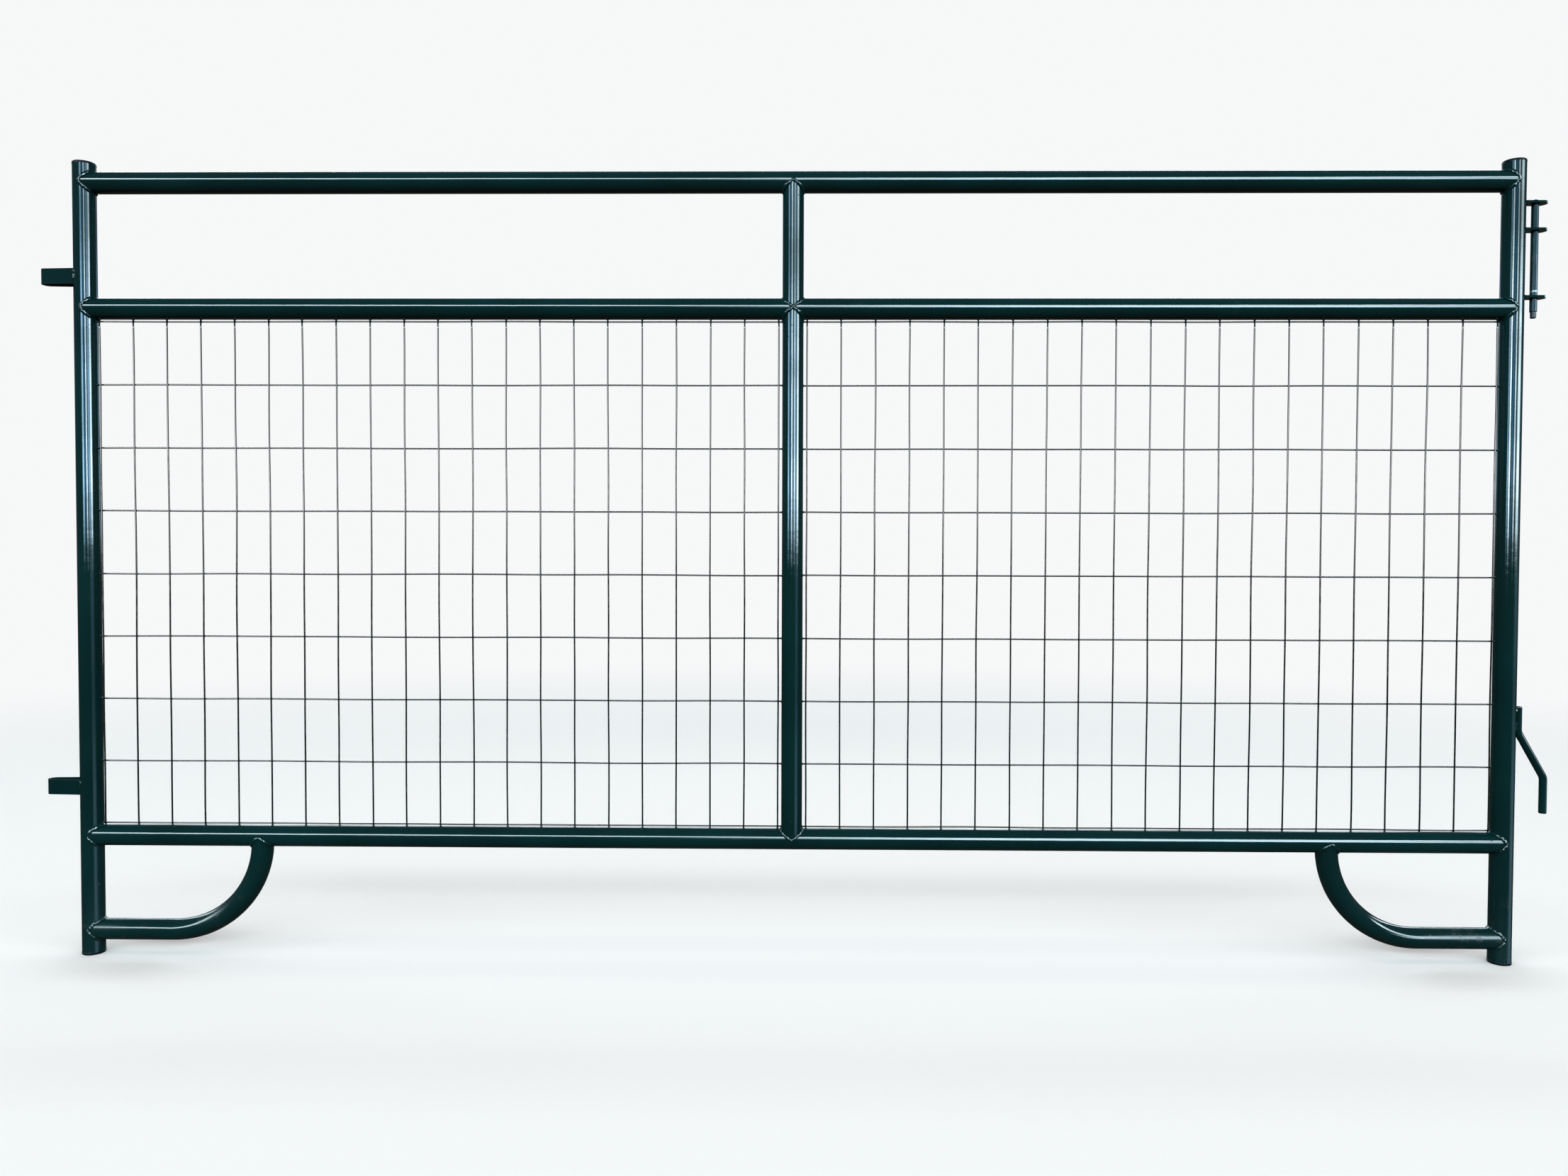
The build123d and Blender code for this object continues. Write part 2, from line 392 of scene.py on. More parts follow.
def resample(path, closed):
    """(point, both normals, distance) along a path, about BEAD_STEP apart, and the path's length."""
    dense = path + [path[0]] if closed else path
    lengths = [0.0]
    for here, there in zip(dense, dense[1:]):
        lengths.append(lengths[-1] + (there[0] - here[0]).length)
    count = max(6, round(lengths[-1] / BEAD_STEP))
    marks = [lengths[-1] * i / count for i in range(count if closed else count + 1)]
    out, k = [], 0
    for mark in marks:
        while k < len(lengths) - 2 and lengths[k + 1] < mark:
            k += 1
        share = (mark - lengths[k]) / max(lengths[k + 1] - lengths[k], 1e-12)
        point, first, second = (u.lerp(v, share) for u, v in zip(dense[k], dense[k + 1]))
        out.append((point, first.normalized(), second.normalized(), mark))
    return out, lengths[-1]


def bead_directions(samples, closed):
    """At each sample, the way out of the seam and the way across it, away from the second part."""
    count = len(samples)
    out, lean = [], 0.0
    for i, (_, first, second, _) in enumerate(samples):
        before = samples[i - 1][0] if closed else samples[max(i - 1, 0)][0]
        after = samples[(i + 1) % count][0] if closed else samples[min(i + 1, count - 1)][0]
        normal = (first + second).normalized()
        side = (after - before).normalized().cross(normal).normalized()
        lean += side.dot(second - first)
        out.append((normal, side))
    return [(normal, -side) for normal, side in out] if lean < 0 else out


def weld_bead(path, closed, leg, crown, pitch, seed):
    """A rippled bead along a path of (point, one part's normal, the other's), like a row of overlapping coins.

    Where the parts meet at an angle it is a fillet reaching leg along each of them. Where they run flush it is
    a ridge, crown high.
    """
    wander = random.Random(seed).uniform(0, 50)
    samples, total = resample(path, closed)
    ripples = max(2, round(total / pitch))
    rings = []
    for (point, first, second, mark), (normal, side) in zip(samples, bead_directions(samples, closed)):
        along_first = (side - first * side.dot(first)).normalized()
        along_second = (second * side.dot(second) - side).normalized()
        corner = along_first.dot(normal)
        loop = 2 * math.pi * mark / total
        if closed:
            spot = Vector((math.cos(loop), math.sin(loop), 0)) * (total * NOISE_ROUND_LOOP)
        else:
            spot = Vector((mark * NOISE_PER_METRE, 0, 0))
        swell = 1 + SWELL * noise.noise(spot + Vector((0, 0, wander)))
        if not closed:
            from_end = min(mark, total - mark) / (END_TAPER * leg)
            swell *= math.sqrt(max(0.06, min(1.0, from_end * (2 - min(from_end, 1.0)))))
        hurry = HURRY * noise.noise(spot * 0.55 + Vector((5, 0, wander)))
        strength = 0.8 + 0.8 * noise.noise(spot * 0.9 + Vector((0, 7, wander)))
        reach = leg * swell * (1 - CORNER_LEG * corner)
        middle = crown * swell * (1 - corner) + CORNER_FILL * reach * corner
        control = point + normal * (2 * middle - reach * corner)
        toes = (
            point + along_first * reach - first * TOE_DEPTH,
            point + along_second * reach - second * TOE_DEPTH,
        )
        ring = []
        for j in range(FACE_POINTS):
            u = j / (FACE_POINTS - 1)
            face = toes[0] * (1 - u) ** 2 + control * (2 * u * (1 - u)) + toes[1] * u ** 2
            phase = mark / total * ripples + hurry - RIPPLE_LAG * (2 * u - 1) ** 2
            coin = 0.5 * math.cos(2 * math.pi * (phase % 1.0) ** 0.75)
            height = coin * strength * (RIPPLE - CORNER_RIPPLE * corner) * crown * math.sin(math.pi * u)
            ring.append(face + normal * height)
        ring.append(point.lerp(toes[1], 0.5) - normal * ROOT_DEPTH)
        ring.append(point.lerp(toes[0], 0.5) - normal * ROOT_DEPTH)
        rings.append(ring)
    return skin(rings, closed)


# ---------------------------------------------------------------- the frame's welds
# A bead's leg, crown and pitch
LOOP_BEAD = (4.4 * MM, 3.0 * MM, 5.4 * MM)
PLATE_BEAD = (4.2 * MM, 2.6 * MM, 4.8 * MM)
HOOK_BEAD = (4.8 * MM, 3.0 * MM, 6.0 * MM)
FRAME_BEAD_LEG, FRAME_BEAD_CROWN = 4.2 * MM, 2.3 * MM
FRAME_BEAD_PITCHES = (6.2, 8.4)     # in millimetres

PATH_STEPS = 40
SEAM_ROUNDING = 2.0 * MM            # at the front and back of a tube joint
SEAM_CIRCLE_SHARE = 0.35            # how far the seam is drawn towards a circle there
HOOK_TACKS = ((3, 15), (33, 54))    # millimetres below the hook rod's top
RIM_R = 0.5 * MM
RIM_SUNK = 0.05 * MM
RIM_STEPS = 96
RIM_SIDES = 10
SPATTER_PER_JOINT = 9
SPATTER_ON_BRANCH = 0.6             # the share that lands on the branch
SPATTER_SPREAD = 22 * MM
SPATTER_RADII = (0.5, 1.3)          # in millimetres


def saddle(centre, main_axis, branch):
    """The seam where a tube along branch meets an equal one along main_axis, rounded at front and back."""
    path = []
    for degree in range(360):
        turn = math.radians(degree)
        along = math.cos(turn) * TUBE_R
        seam, circle = abs(along), TUBE_R * (1 - abs(math.sin(turn)))
        reach = (1 - SEAM_CIRCLE_SHARE) * math.hypot(seam, SEAM_ROUNDING) + SEAM_CIRCLE_SHARE * circle
        nearer = min(seam, reach)
        across = math.copysign(math.sqrt(TUBE_R ** 2 - nearer ** 2), math.sin(turn))
        point = centre + main_axis * along + Y * across + branch * reach
        main_normal = (main_axis * along + Y * across).normalized()
        branch_normal = (branch * reach + Y * across).normalized()
        path.append((point, main_normal, branch_normal))
    return path


def frame_joints():
    """(centre, main axis, branch direction) of every place where one tube is coped onto another."""
    joints = []
    for side in SIDES:
        for height in (TOP_Z, MIDDLE_Z, BOTTOM_Z, FOOT_Z):
            joints.append((Vector((side * POST_X, 0, height)), Z, X * -side))
        joints.append((Vector((side * BOW_LEG_X, 0, BOTTOM_Z)), X, -Z))
    for low, high in ((MIDDLE_Z, TOP_Z), (BOTTOM_Z, MIDDLE_Z)):
        joints.append((Vector((0, 0, low)), X, Z))
        joints.append((Vector((0, 0, high)), X, -Z))
    return joints


def frame_welds():
    """A bead all round each tube joint."""
    beads = []
    for number, joint in enumerate(frame_joints()):
        pitch = random.Random(number).uniform(*FRAME_BEAD_PITCHES) * MM
        beads.append(weld_bead(saddle(*joint), True, FRAME_BEAD_LEG, FRAME_BEAD_CROWN, pitch, number))
    return new_piece("frame_weld_beads", beads, WELD_COAT, "frame")


def on_post(side, y, z):
    """The point of a post's outward surface at that y and z, and the surface's normal there."""
    outward = math.sqrt(TUBE_R ** 2 - y ** 2)
    normal = Vector((side * outward, y, 0)).normalized()
    return Vector((side * (POST_X + outward), y, z)), normal


def loop_welds():
    """Coarse beads beside the legs of both coupling loops, over the top four fifths of the bar."""
    beads = []
    for number, name in enumerate(("upper_loop", "lower_loop")):
        low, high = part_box(name)
        top, bottom = high.z - 1.5 * MM, high.z - 0.80 * (high.z - low.z)
        for facing in (-1, 1):
            point, post_normal = on_post(LEFT, facing * (high.y - 0.3 * MM), 0)
            path = []
            for k in range(PATH_STEPS + 1):
                z = top + (bottom - top) * k / PATH_STEPS
                path.append((Vector((point.x, point.y, z)), post_normal, Y * facing))
            beads.append(weld_bead(path, False, *LOOP_BEAD, 40 + 2 * number + facing))
    return new_piece("loop_weld_beads", beads, WELD_COAT, "frame")


def plate_welds():
    """A fillet over and under each latch plate, round the post."""
    beads = []
    for number, name in enumerate(("top_latch_plate", "middle_latch_plate", "lower_latch_plate")):
        low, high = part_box(name)
        half = high.y - 0.5 * MM
        for level, up in ((high.z, 1), (low.z, -1)):
            path = []
            for k in range(PATH_STEPS + 1):
                point, post_normal = on_post(RIGHT, half * (2 * k / PATH_STEPS - 1), level)
                path.append((point, post_normal, Z * up))
            beads.append(weld_bead(path, False, *PLATE_BEAD, 60 + 2 * number + up))
    return new_piece("plate_weld_beads", beads, WELD_COAT, "frame")


def hook_welds():
    """Two stout tacks at the front and two at the back, in the grooves between the hook rod and the post."""
    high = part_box("hook_rod")[1]
    rod_r = width_of("hook_rod", 1) / 2
    groove_x = POST_X + TUBE_R + 1.0 * MM
    beads = []
    for facing in (-1, 1):
        for number, (above, below) in enumerate(HOOK_TACKS):
            top = Vector((groove_x, facing * 0.60 * rod_r, high.z - above * MM))
            path = []
            for k in range(PATH_STEPS + 1):
                path.append((top - Z * ((below - above) * MM * k / PATH_STEPS), Y * facing, Y * facing))
            beads.append(weld_bead(path, False, *HOOK_BEAD, 80 + facing + 5 * number))
    return new_piece("hook_weld_beads", beads, WELD_COAT, "frame")


def post_rims():
    """The thick ring of paint round each end of the posts, where the caps sit."""
    rims = []
    for side in SIDES:
        low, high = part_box(f"{SIDES[side]}_post")
        for z in (low.z + RIM_R, high.z - RIM_R):
            rings = []
            for i in range(RIM_STEPS):
                bearing = i * math.tau / RIM_STEPS
                out = X * math.cos(bearing) + Y * math.sin(bearing)
                middle = X * side * POST_X + Z * z + out * (TUBE_R - RIM_SUNK)
                turns = [j * math.tau / RIM_SIDES for j in range(RIM_SIDES)]
                rings.append([middle + (out * math.cos(t) + Z * math.sin(t)) * RIM_R for t in turns])
            rims.append(skin(rings, True))
    new_piece("post_end_rims", rims, FRAME_COAT, "frame")


def spatter():
    """Tiny beads of weld spatter, frozen under the paint near each joint."""
    dice = random.Random(7)
    drops = []
    for centre, main_axis, branch in frame_joints():
        for _ in range(SPATTER_PER_JOINT):
            away = TUBE_R + abs(dice.gauss(0, SPATTER_SPREAD)) + 5 * MM
            turn = math.radians(dice.choice((-1, 1)) * 90 + dice.gauss(0, 38))
            on_branch = dice.random() < SPATTER_ON_BRANCH
            axis, other = (branch, main_axis) if on_branch else (main_axis * dice.choice((-1, 1)), branch)
            normal = (other * math.cos(turn) + Y * math.sin(turn)).normalized()
            point = centre + axis * away + normal * TUBE_R
            off_the_post = not FOOT_Z < point.z < TOP_Z + TUBE_R
            if not on_branch and main_axis == Z and off_the_post:
                continue
            drops.append(blob(point, normal, dice.uniform(*SPATTER_RADII) * MM, 0.7, dice.random()))
    new_piece("weld_spatter", drops, WELD_COAT, "frame")


# ---------------------------------------------------------------- wire infill
UPRIGHTS = 21
LEVELS = 9
WIRE_SIDES = 12
UPRIGHT_STEPS = 48
LEVEL_STEPS = 80
WIRE_WANDER = 1.3 * MM
SHEET_BULGE = 3.0 * MM
INTO_TUBE = 1.2 * MM
END_WELD_INSET = 1.6 * MM
END_WELD_R = 2.7 * MM
END_WELD_FLAT = 0.75
CROSSING_WELD_R = 2.05 * MM
CROSSING_WELD_FLAT = 0.55


def bay(side):
    """Where a bay's wires run: their x places, z places, and the ends that reach into the tubes."""
    upright_low, upright_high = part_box(f"{SIDES[side]}_upright_wires")
    level_low, level_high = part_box(f"{SIDES[side]}_level_wires")
    first_x, last_x = upright_low.x + WIRE_R, upright_high.x - WIRE_R
    first_z, last_z = level_low.z + WIRE_R, level_high.z - WIRE_R
    return {
        "xs": [first_x + (last_x - first_x) * n / (UPRIGHTS - 1) for n in range(UPRIGHTS)],
        "zs": [first_z + (last_z - first_z) * n / (LEVELS - 1) for n in range(LEVELS)],
        "x_ends": (level_low.x - INTO_TUBE, level_high.x + INTO_TUBE),
        "z_ends": (upright_low.z - INTO_TUBE, upright_high.z + INTO_TUBE),
    }


def bulge(side, x, z, edges):
    """How far the wire sheet stands off its plane: none at its edges, a few millimetres inside."""
    across = (x - edges["xs"][0]) / (edges["xs"][-1] - edges["xs"][0])
    up = (z - edges["zs"][0]) / (edges["zs"][-1] - edges["zs"][0])
    hold = max(0.0, math.sin(math.pi * min(max(across, 0), 1)) * math.sin(math.pi * min(max(up, 0), 1)))
    return SHEET_BULGE * math.sqrt(hold) * noise.noise(Vector((x * 2.2, side * 5, z * 2.6)))


def upright_point(side, n, z, edges):
    """A point on an upright wire's centre line, which wanders a little from straight."""
    x = edges["xs"][n]
    x += WIRE_WANDER * noise.noise(Vector((n * 3.7, z * 4.5, side * 9)))
    return Vector((x, bulge(side, x, z, edges) - WIRE_R, z))


def level_point(side, n, x, edges):
    """A point on a level wire's centre line, which wanders too."""
    z = edges["zs"][n]
    z += WIRE_WANDER * noise.noise(Vector((x * 4.0, n * 3.1, side * 4)))
    return Vector((x, bulge(side, x, z, edges) + WIRE_R, z))


def wire_welds(run, along, tilt, seed):
    """The weld at each end of a wire, just inside the tube's surface and tilted towards it by tilt in y."""
    drops = []
    for end, inward in ((run[0], 1), (run[-1], -1)):
        normal = (along * inward + Y * tilt).normalized()
        foot = end + along * (inward * END_WELD_INSET)
        drops.append(blob(foot, normal, END_WELD_R, END_WELD_FLAT, seed + 0.1 * inward))
    return drops


def infill(side):
    """One bay's wires in place of the straight CAD ones, with the welds that hold them."""
    edges = bay(side)
    name = SIDES[side]
    low_z, high_z = edges["z_ends"]
    low_x, high_x = edges["x_ends"]
    uprights, levels, drops = [], [], []
    for n in range(UPRIGHTS):
        heights = [low_z + (high_z - low_z) * k / UPRIGHT_STEPS for k in range(UPRIGHT_STEPS + 1)]
        run = [upright_point(side, n, z, edges) for z in heights]
        uprights.append(tube_along(run, WIRE_R, WIRE_SIDES))
        drops += wire_welds(run, Z, -0.5, side * 100 + n)
    for n in range(LEVELS):
        places = [low_x + (high_x - low_x) * k / LEVEL_STEPS for k in range(LEVEL_STEPS + 1)]
        run = [level_point(side, n, x, edges) for x in places]
        levels.append(tube_along(run, WIRE_R, WIRE_SIDES))
        drops += wire_welds(run, X, 0.3, side * 300 + n)
    nuggets = []
    for n in range(UPRIGHTS):
        for m in range(LEVELS):
            here = upright_point(side, n, edges["zs"][m], edges)
            there = level_point(side, m, here.x, edges)
            middle = (here + Vector((here.x, there.y, there.z))) / 2
            nuggets.append(blob(middle, Y, CROSSING_WELD_R, CROSSING_WELD_FLAT, side * 1000 + n * 20 + m))
    upright_piece = new_piece(f"{name}_wavy_upright_wires", uprights, WIRE_COAT, "frame")
    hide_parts(f"{name}_upright_wires")
    level_piece = new_piece(f"{name}_wavy_level_wires", levels, WIRE_COAT, "frame")
    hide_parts(f"{name}_level_wires")
    new_piece(f"{name}_wire_end_welds", drops, WELD_COAT, "frame")
    new_piece(f"{name}_wire_crossing_welds", nuggets, WIRE_COAT, "frame")
    return [upright_piece, level_piece]


# ---------------------------------------------------------------- stage and world
PALE = (0.93, 0.935, 0.94)
FLOOR_COLOUR = (0.80, 0.69, 0.66)
FLOOR_FADE = (2.4, 7.0)         # metres from the middle, where the floor turns into the backdrop's tone
FLOOR_RADIUS = 30
DOME_RADIUS = 31
SKY_TINT = (0.72, 0.93, 1.0)
GROUND_TINT = (1.0, 0.92, 0.72)
BAND_STRENGTH = 17.0
HAZE_STRENGTH = 0.035
OVERHEAD_STRENGTH = 0.02
REAR_SHARE = 0.5                # how bright the band is behind the panel
# The elevations, in degrees, over which each comes in and goes out
BAND_IN, BAND_OUT = (19.5, 21.5), (26.5, 30)
HAZE_IN, HAZE_OUT = (1, 12), (15, 18)
OVERHEAD_IN = (29, 40)


def emission(name, colour, strength):
    material = bpy.data.materials.new(name)
    material.use_nodes = True
    tree = material.node_tree
    tree.nodes.clear()
    glow = tree.nodes.new("ShaderNodeEmission")
    glow.inputs["Color"].default_value = (*colour, 1)
    glow.inputs["Strength"].default_value = strength
    out = tree.nodes.new("ShaderNodeOutputMaterial")
    tree.links.new(glow.outputs[0], out.inputs["Surface"])
    return material


def floor_material():
    """Pale matt floor that fades into the backdrop's tone with distance."""
    material = emission("floor_pale", PALE, 1.0)
    s = Nodes(material.node_tree)
    matt = s.new("ShaderNodeBsdfDiffuse")
    matt.inputs["Color"].default_value = (*FLOOR_COLOUR, 1)
    distance = s.new("ShaderNodeVectorMath")
    distance.operation = "LENGTH"
    s.link(s.new("ShaderNodeTexCoord").outputs["Object"], distance.inputs[0])
    mixed = s.new("ShaderNodeMixShader")
    s.link(s.ramp(distance.outputs["Value"], *FLOOR_FADE), mixed.inputs["Fac"])
    s.link(matt.outputs[0], mixed.inputs[1])
    s.link(s.tree.nodes["Emission"].outputs[0], mixed.inputs[2])
    s.link(mixed.outputs[0], s.tree.nodes["Material Output"].inputs["Surface"])
    return material


def build_stage():
    """A pale floor and a pale dome. Neither shows in the paint, which reflects the studio world instead."""
    bpy.ops.mesh.primitive_circle_add(vertices=96, radius=FLOOR_RADIUS, fill_type="NGON")
    floor = bpy.context.object
    floor.name = "floor"
    floor.data.materials.append(floor_material())
    bpy.ops.mesh.primitive_uv_sphere_add(segments=64, ring_count=32, radius=DOME_RADIUS)
    dome = bpy.context.object
    dome.name = "backdrop"
    dome.data.materials.append(emission("backdrop_pale", PALE, 1.0))
    for obj in (floor, dome):
        obj.visible_glossy = False
        obj.visible_diffuse = False
        obj.visible_shadow = False
    dome.visible_transmission = False
    return floor


def build_world():
    """What the paint reflects: a bright band ahead, a dimmer one behind, a dim haze, and little else."""
    world = bpy.data.worlds.new("studio")
    bpy.context.scene.world = world
    world.use_nodes = True
    s = Nodes(world.node_tree)
    s.tree.nodes.clear()
    direction = s.new("ShaderNodeTexCoord").outputs["Generated"]
    rise = s.component(direction, "Z")
    ahead = s.maths("MULTIPLY", s.component(direction, "Y"), -1.0)

    def by_elevation(elevations, out_low, out_high):
        low, high = (math.sin(math.radians(degrees)) for degrees in elevations)
        return s.ramp(rise, low, high, out_low, out_high)

    facing = s.maths("ADD", s.ramp(ahead, 0.15, 0.40), s.ramp(ahead, -0.40, -0.15, REAR_SHARE, 0.0))
    band = s.maths("MULTIPLY", by_elevation(BAND_IN, 0.0, 1.0), by_elevation(BAND_OUT, 1.0, 0.0))
    band = s.maths("MULTIPLY", s.maths("MULTIPLY", band, facing), BAND_STRENGTH)
    haze = s.maths("MULTIPLY", by_elevation(HAZE_IN, 0.0, HAZE_STRENGTH), by_elevation(HAZE_OUT, 1.0, 0.3))
    base = s.ramp(rise, -0.10, 0.02, 0.05, 0.07)
    overhead = by_elevation(OVERHEAD_IN, 0.0, OVERHEAD_STRENGTH)
    total = s.maths("ADD", s.maths("ADD", band, haze), s.maths("ADD", base, overhead))
    background = s.new("ShaderNodeBackground")
    s.link(s.mix(s.ramp(rise, -0.02, 0.10), GROUND_TINT, SKY_TINT), background.inputs["Color"])
    s.link(total, background.inputs["Strength"])
    s.link(background.outputs[0], s.new("ShaderNodeOutputWorld").inputs["Surface"])


# ---------------------------------------------------------------- camera
CAMERA_PLACE = Vector((0.0112, -2.3294, 0.8483))
CAMERA_YAW, CAMERA_PITCH, CAMERA_ROLL = -0.705, 1.441, 0.168    # degrees
LENS = 25.23


def build_camera():
    """The viewpoint: just over 0.8 m up and close to the panel, with a wide lens."""
    yaw, pitch, roll = (math.radians(a) for a in (CAMERA_YAW, CAMERA_PITCH, CAMERA_ROLL))
    forward = Vector((math.sin(yaw) * math.cos(pitch), math.cos(yaw) * math.cos(pitch), -math.sin(pitch)))
    level = Vector((math.cos(yaw), -math.sin(yaw), 0))
    right = level * math.cos(roll) + level.cross(forward) * math.sin(roll)
    up = right.cross(forward)
    data = bpy.data.cameras.new("camera")
    data.lens = LENS
    data.sensor_width = 36
    camera = bpy.data.objects.new("camera", data)
    bpy.context.scene.collection.objects.link(camera)
    axes = Matrix((right, up, -forward)).transposed()
    camera.matrix_world = Matrix.Translation(CAMERA_PLACE) @ axes.to_4x4()
    bpy.context.scene.camera = camera


# ---------------------------------------------------------------- lights
WHITE, SKY, BLUE, NEUTRAL = (0.70, 0.90, 1.0), (0.40, 0.72, 1.0), (0.18, 0.52, 1.0), (0.94, 0.97, 1.0)
RAIL_BLUE = (0.62, 0.86, 1.0)
STRIP_DISTANCE = 8.0
TALL = (0.75, 5.6)      # the heights between which most strips stand
LOW = (-4.5, 2.4)       # and those that show near the ground. The floor doesn't hide them from the paint.
STRIP_SHAPE = (0.16, 0.58, 0.30)            # foot, head and unevenness, for shape_glow
REAR_STRIPS = ((171, 176), (184, 188))      # bearings from the front, in degrees
REAR_RADIANCE = 3.5
RAIL_GLOW_SIZE, RAIL_GLOW_RADIANCE = (62.0, 19.0), 21.0
RAIL_GLOW_PLACE = (22.0, -60.0, 16.6)
RAIL_GLOW_SHAPE = (0.30, 1.0, 0.15)
FLOOR_GLOW_SIZE, FLOOR_GLOW_RADIANCE = (9.0, 5.0), 1.1
FLOOR_GLOW_PLACE = (0, 0, 5.0)

# Each strip: where its reflection starts and ends across the upright, as shares of the upright's width from
# its left edge, then its heights, radiance and colour
LEFT_STRIPS = (
    (0.27, 0.37, TALL, 14.0, SKY),
    (0.36, 0.45, TALL, 3.0, BLUE),
    (0.43, 0.485, TALL, 24.0, WHITE),
    (0.48, 0.66, TALL, 8.0, SKY),
    (0.60, 0.69, TALL, 22.0, WHITE),
    (0.50, 0.70, LOW, 1.3, SKY),
)
MIDDLE_STRIPS = (
    (0.28, 0.37, TALL, 13.0, SKY),
    (0.37, 0.44, TALL, 3.0, BLUE),
    (0.42, 0.50, TALL, 24.0, WHITE),
    (0.50, 0.68, TALL, 6.5, SKY),
    (0.555, 0.60, TALL, 16.0, WHITE),
    (0.66, 0.78, TALL, 22.0, WHITE),
    (0.60, 0.78, LOW, 1.3, SKY),
)
RIGHT_STRIPS = (
    (0.42, 0.49, TALL, 8.0, SKY),
    (0.49, 0.57, TALL, 26.0, WHITE),
    (0.57, 0.68, TALL, 3.0, BLUE),
    (0.68, 0.76, TALL, 15.0, WHITE),
    (0.78, 0.92, TALL, 16.0, WHITE),
    (0.80, 0.96, LOW, 1.2, SKY),
)
PIN_STRIPS = (
    (0.30, 0.70, TALL, 2.6, SKY),
    (0.62, 0.97, TALL, 3.6, SKY),
    (0.80, 0.86, TALL, 8.0, WHITE),
)
PLATE_STRIPS = (
    (0.90, 0.95, TALL, 10.0, SKY),
    (0.955, 0.99, TALL, 10.0, WHITE),
)
WIRE_STRIPS = (
    (0.22, 0.74, TALL, 7.0, NEUTRAL),
    (0.28, 0.40, TALL, 8.0, NEUTRAL),
)


def shape_glow(light, foot, head, unevenness):
    """A light's glow: soft down both sides, with a soft foot and a dimmer head, uneven along its height.

    foot is the share of the height where it has come to full strength, head where it has faded to under half.
    """
    light.data.use_nodes = True
    s = Nodes(light.data.node_tree)
    place = s.new("ShaderNodeNewGeometry").outputs["Parametric"]
    across, up = s.component(place, "X"), s.component(place, "Y")
    off_centre = s.maths("ABSOLUTE", s.maths("SUBTRACT", across, 0.5))
    sides = s.ramp(off_centre, 0.10, 0.5, 1.2, 0.0)
    ends = s.maths("MULTIPLY", s.ramp(up, 0.0, foot), s.ramp(up, 0.36, head, 1.0, 0.45))
    patchy = s.new("ShaderNodeTexNoise")
    patchy.noise_dimensions = "1D"
    patchy.inputs["Scale"].default_value = 9.0
    s.link(up, patchy.inputs["W"])
    uneven = s.ramp(patchy.outputs["Fac"], 0.3, 0.7, 1.0 - unevenness, 1.0 + unevenness)
    glow = s.maths("MULTIPLY", s.maths("MULTIPLY", sides, ends), uneven)
    s.link(glow, s.tree.nodes["Emission"].inputs["Strength"])


def area_light(name, width, height, radiance, colour, receivers):
    """A rectangular light that draws highlights on receivers and adds nothing to their own tone."""
    data = bpy.data.lights.new(name, "AREA")
    data.shape = "RECTANGLE"
    data.size = width
    data.size_y = height
    data.color = colour
    data.energy = radiance * math.pi * width * height
    light = bpy.data.objects.new(name, data)
    bpy.context.scene.collection.objects.link(light)
    light.rotation_mode = "QUATERNION"
    light.visible_camera = False
    light.visible_diffuse = False
    light.light_linking.receiver_collection = receivers
    return light


def strip_light(name, upright_x, start, end, heights, radiance, colour, receivers):
    """A tall soft light that an upright at upright_x sees between two bearings from its front, in radians."""
    middle = (start + end) / 2
    low, high = heights
    width = 2 * STRIP_DISTANCE * math.tan((end - start) / 2)
    light = area_light(name, width, high - low, radiance, colour, receivers)
    spot = Vector((math.sin(middle), -math.cos(middle), 0)) * STRIP_DISTANCE
    light.location = spot + X * upright_x + Z * (low + high) / 2
    light.rotation_quaternion = spot.to_track_quat("Z", "Y")
    shape_glow(light, *STRIP_SHAPE)


def lit_group(name, pieces):
    group = bpy.data.collections.new(name)
    for piece in pieces:
        group.objects.link(piece)
    return group


def ending(*endings):
    return [node for name, node in nodes.items() if name.endswith(endings)]


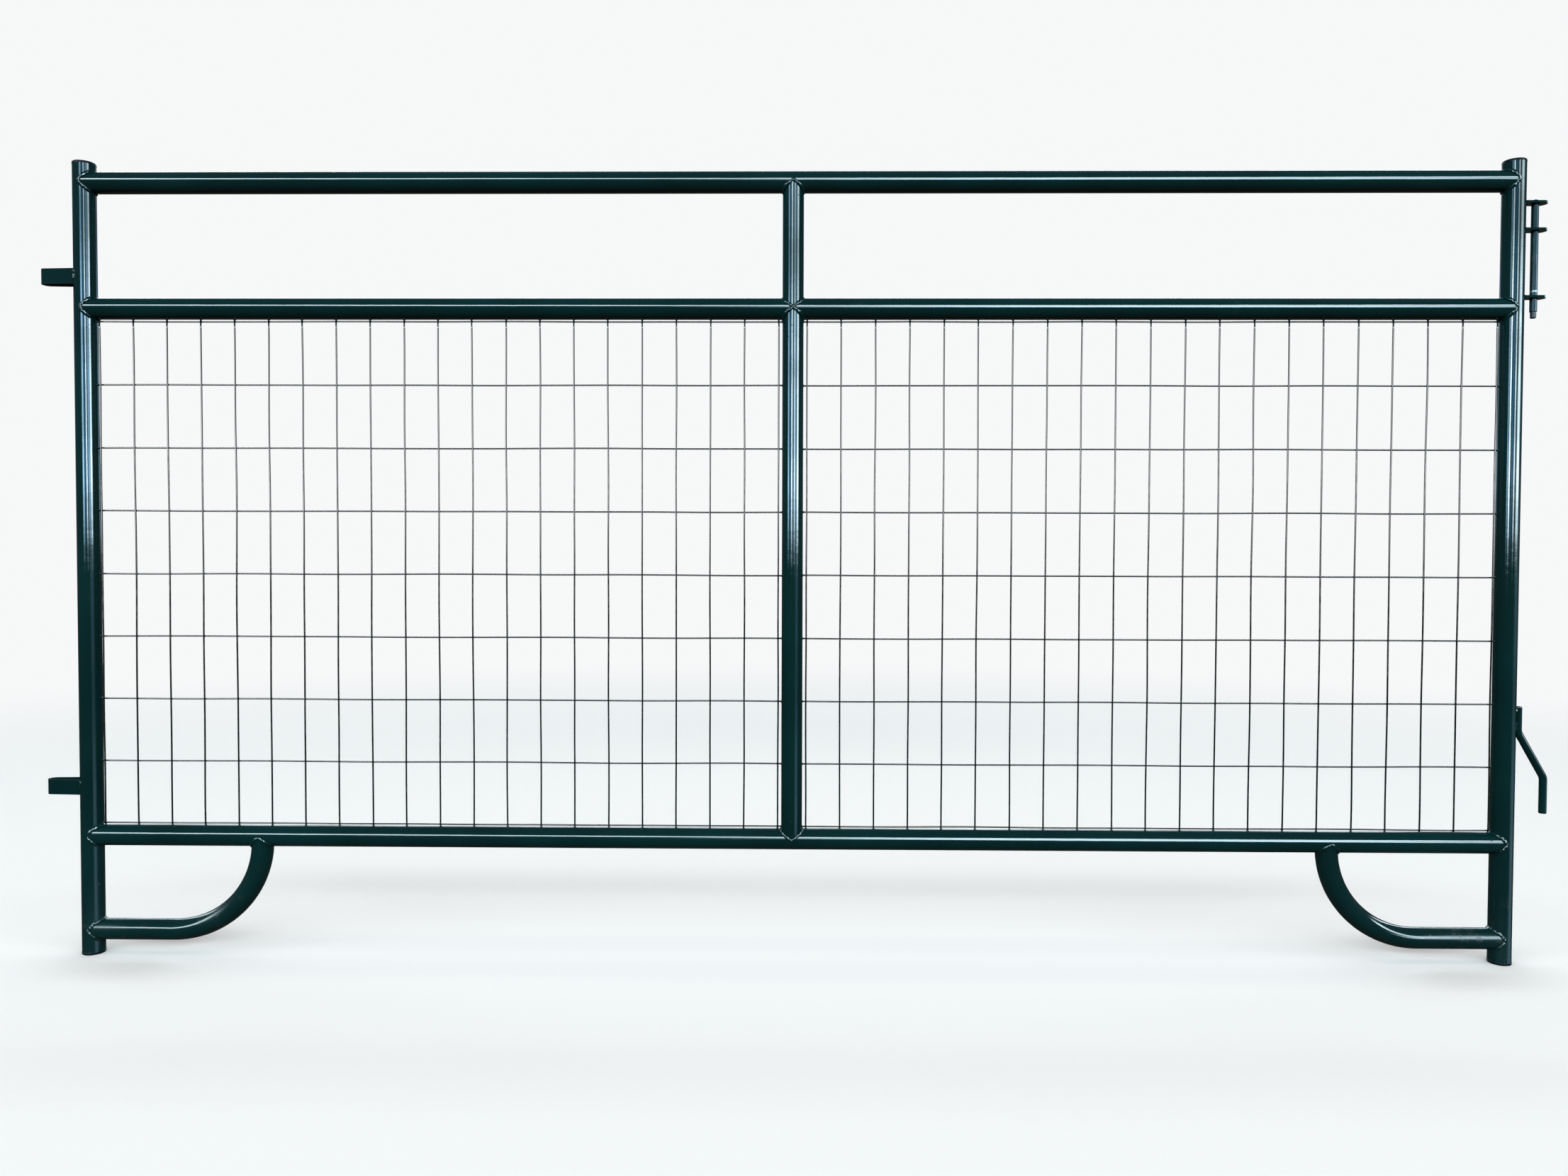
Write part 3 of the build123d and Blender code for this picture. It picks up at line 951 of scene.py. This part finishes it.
def build_lights(wires, welds, floor):
    """Strips for the long highlights of the uprights, one wide light for the rails, and one for the floor."""
    sets = (
        ("left", -POST_X, lit_group("lit_on_left", [nodes["left_post"]]), LEFT_STRIPS),
        ("middle", 0.0, lit_group("lit_in_middle", ending("_stile")), MIDDLE_STRIPS),
        ("right", POST_X, lit_group("lit_on_right", ending("right_post", "_rod")), RIGHT_STRIPS),
        ("pin", POST_X, lit_group("lit_pin", ending("_pin")), PIN_STRIPS),
        ("plates", POST_X, lit_group("lit_plates", ending("_plate")), PLATE_STRIPS),
        ("wires", 0.0, lit_group("lit_wires", wires), WIRE_STRIPS),
    )
    for where, upright_x, receivers, strips in sets:
        viewer = math.atan2(CAMERA_PLACE.x - upright_x, -CAMERA_PLACE.y)
        for number, (from_share, to_share, heights, radiance, colour) in enumerate(strips):
            start, end = (viewer + 2 * math.asin(2 * share - 1) for share in (from_share, to_share))
            strip_light(f"strip_{where}_{number}", upright_x, start, end, heights, radiance, colour, receivers)

    from_behind = lit_group("lit_from_behind", ending("_post", "_stile", "_pin", "_rod"))
    for number, bearings in enumerate(REAR_STRIPS):
        start, end = (math.radians(bearing) for bearing in bearings)
        strip_light(f"strip_behind_{number}", 0.0, start, end, TALL, REAR_RADIANCE, SKY, from_behind)

    level = lit_group("lit_level", ending("_rail", "_bow") + welds)
    rail_glow = area_light("rail_glow", *RAIL_GLOW_SIZE, RAIL_GLOW_RADIANCE, RAIL_BLUE, level)
    rail_glow.location = RAIL_GLOW_PLACE
    rail_glow.rotation_quaternion = Vector((0, -1, 0)).to_track_quat("Z", "Y")
    shape_glow(rail_glow, *RAIL_GLOW_SHAPE)

    below = lit_group("lit_floor", [floor])
    floor_glow = area_light("floor_glow", *FLOOR_GLOW_SIZE, FLOOR_GLOW_RADIANCE, (1.0, 1.0, 1.0), below)
    floor_glow.location = FLOOR_GLOW_PLACE
    floor_glow.visible_diffuse = True


# ---------------------------------------------------------------- put together
build_camera()
paint_cad_nodes()
welds = [frame_welds(), loop_welds(), plate_welds(), hook_welds()]
post_rims()
spatter()
wires = [piece for side in SIDES for piece in infill(side)]
floor = build_stage()
build_world()
bpy.context.scene.view_settings.view_transform = "Standard"
build_lights(wires, welds, floor)
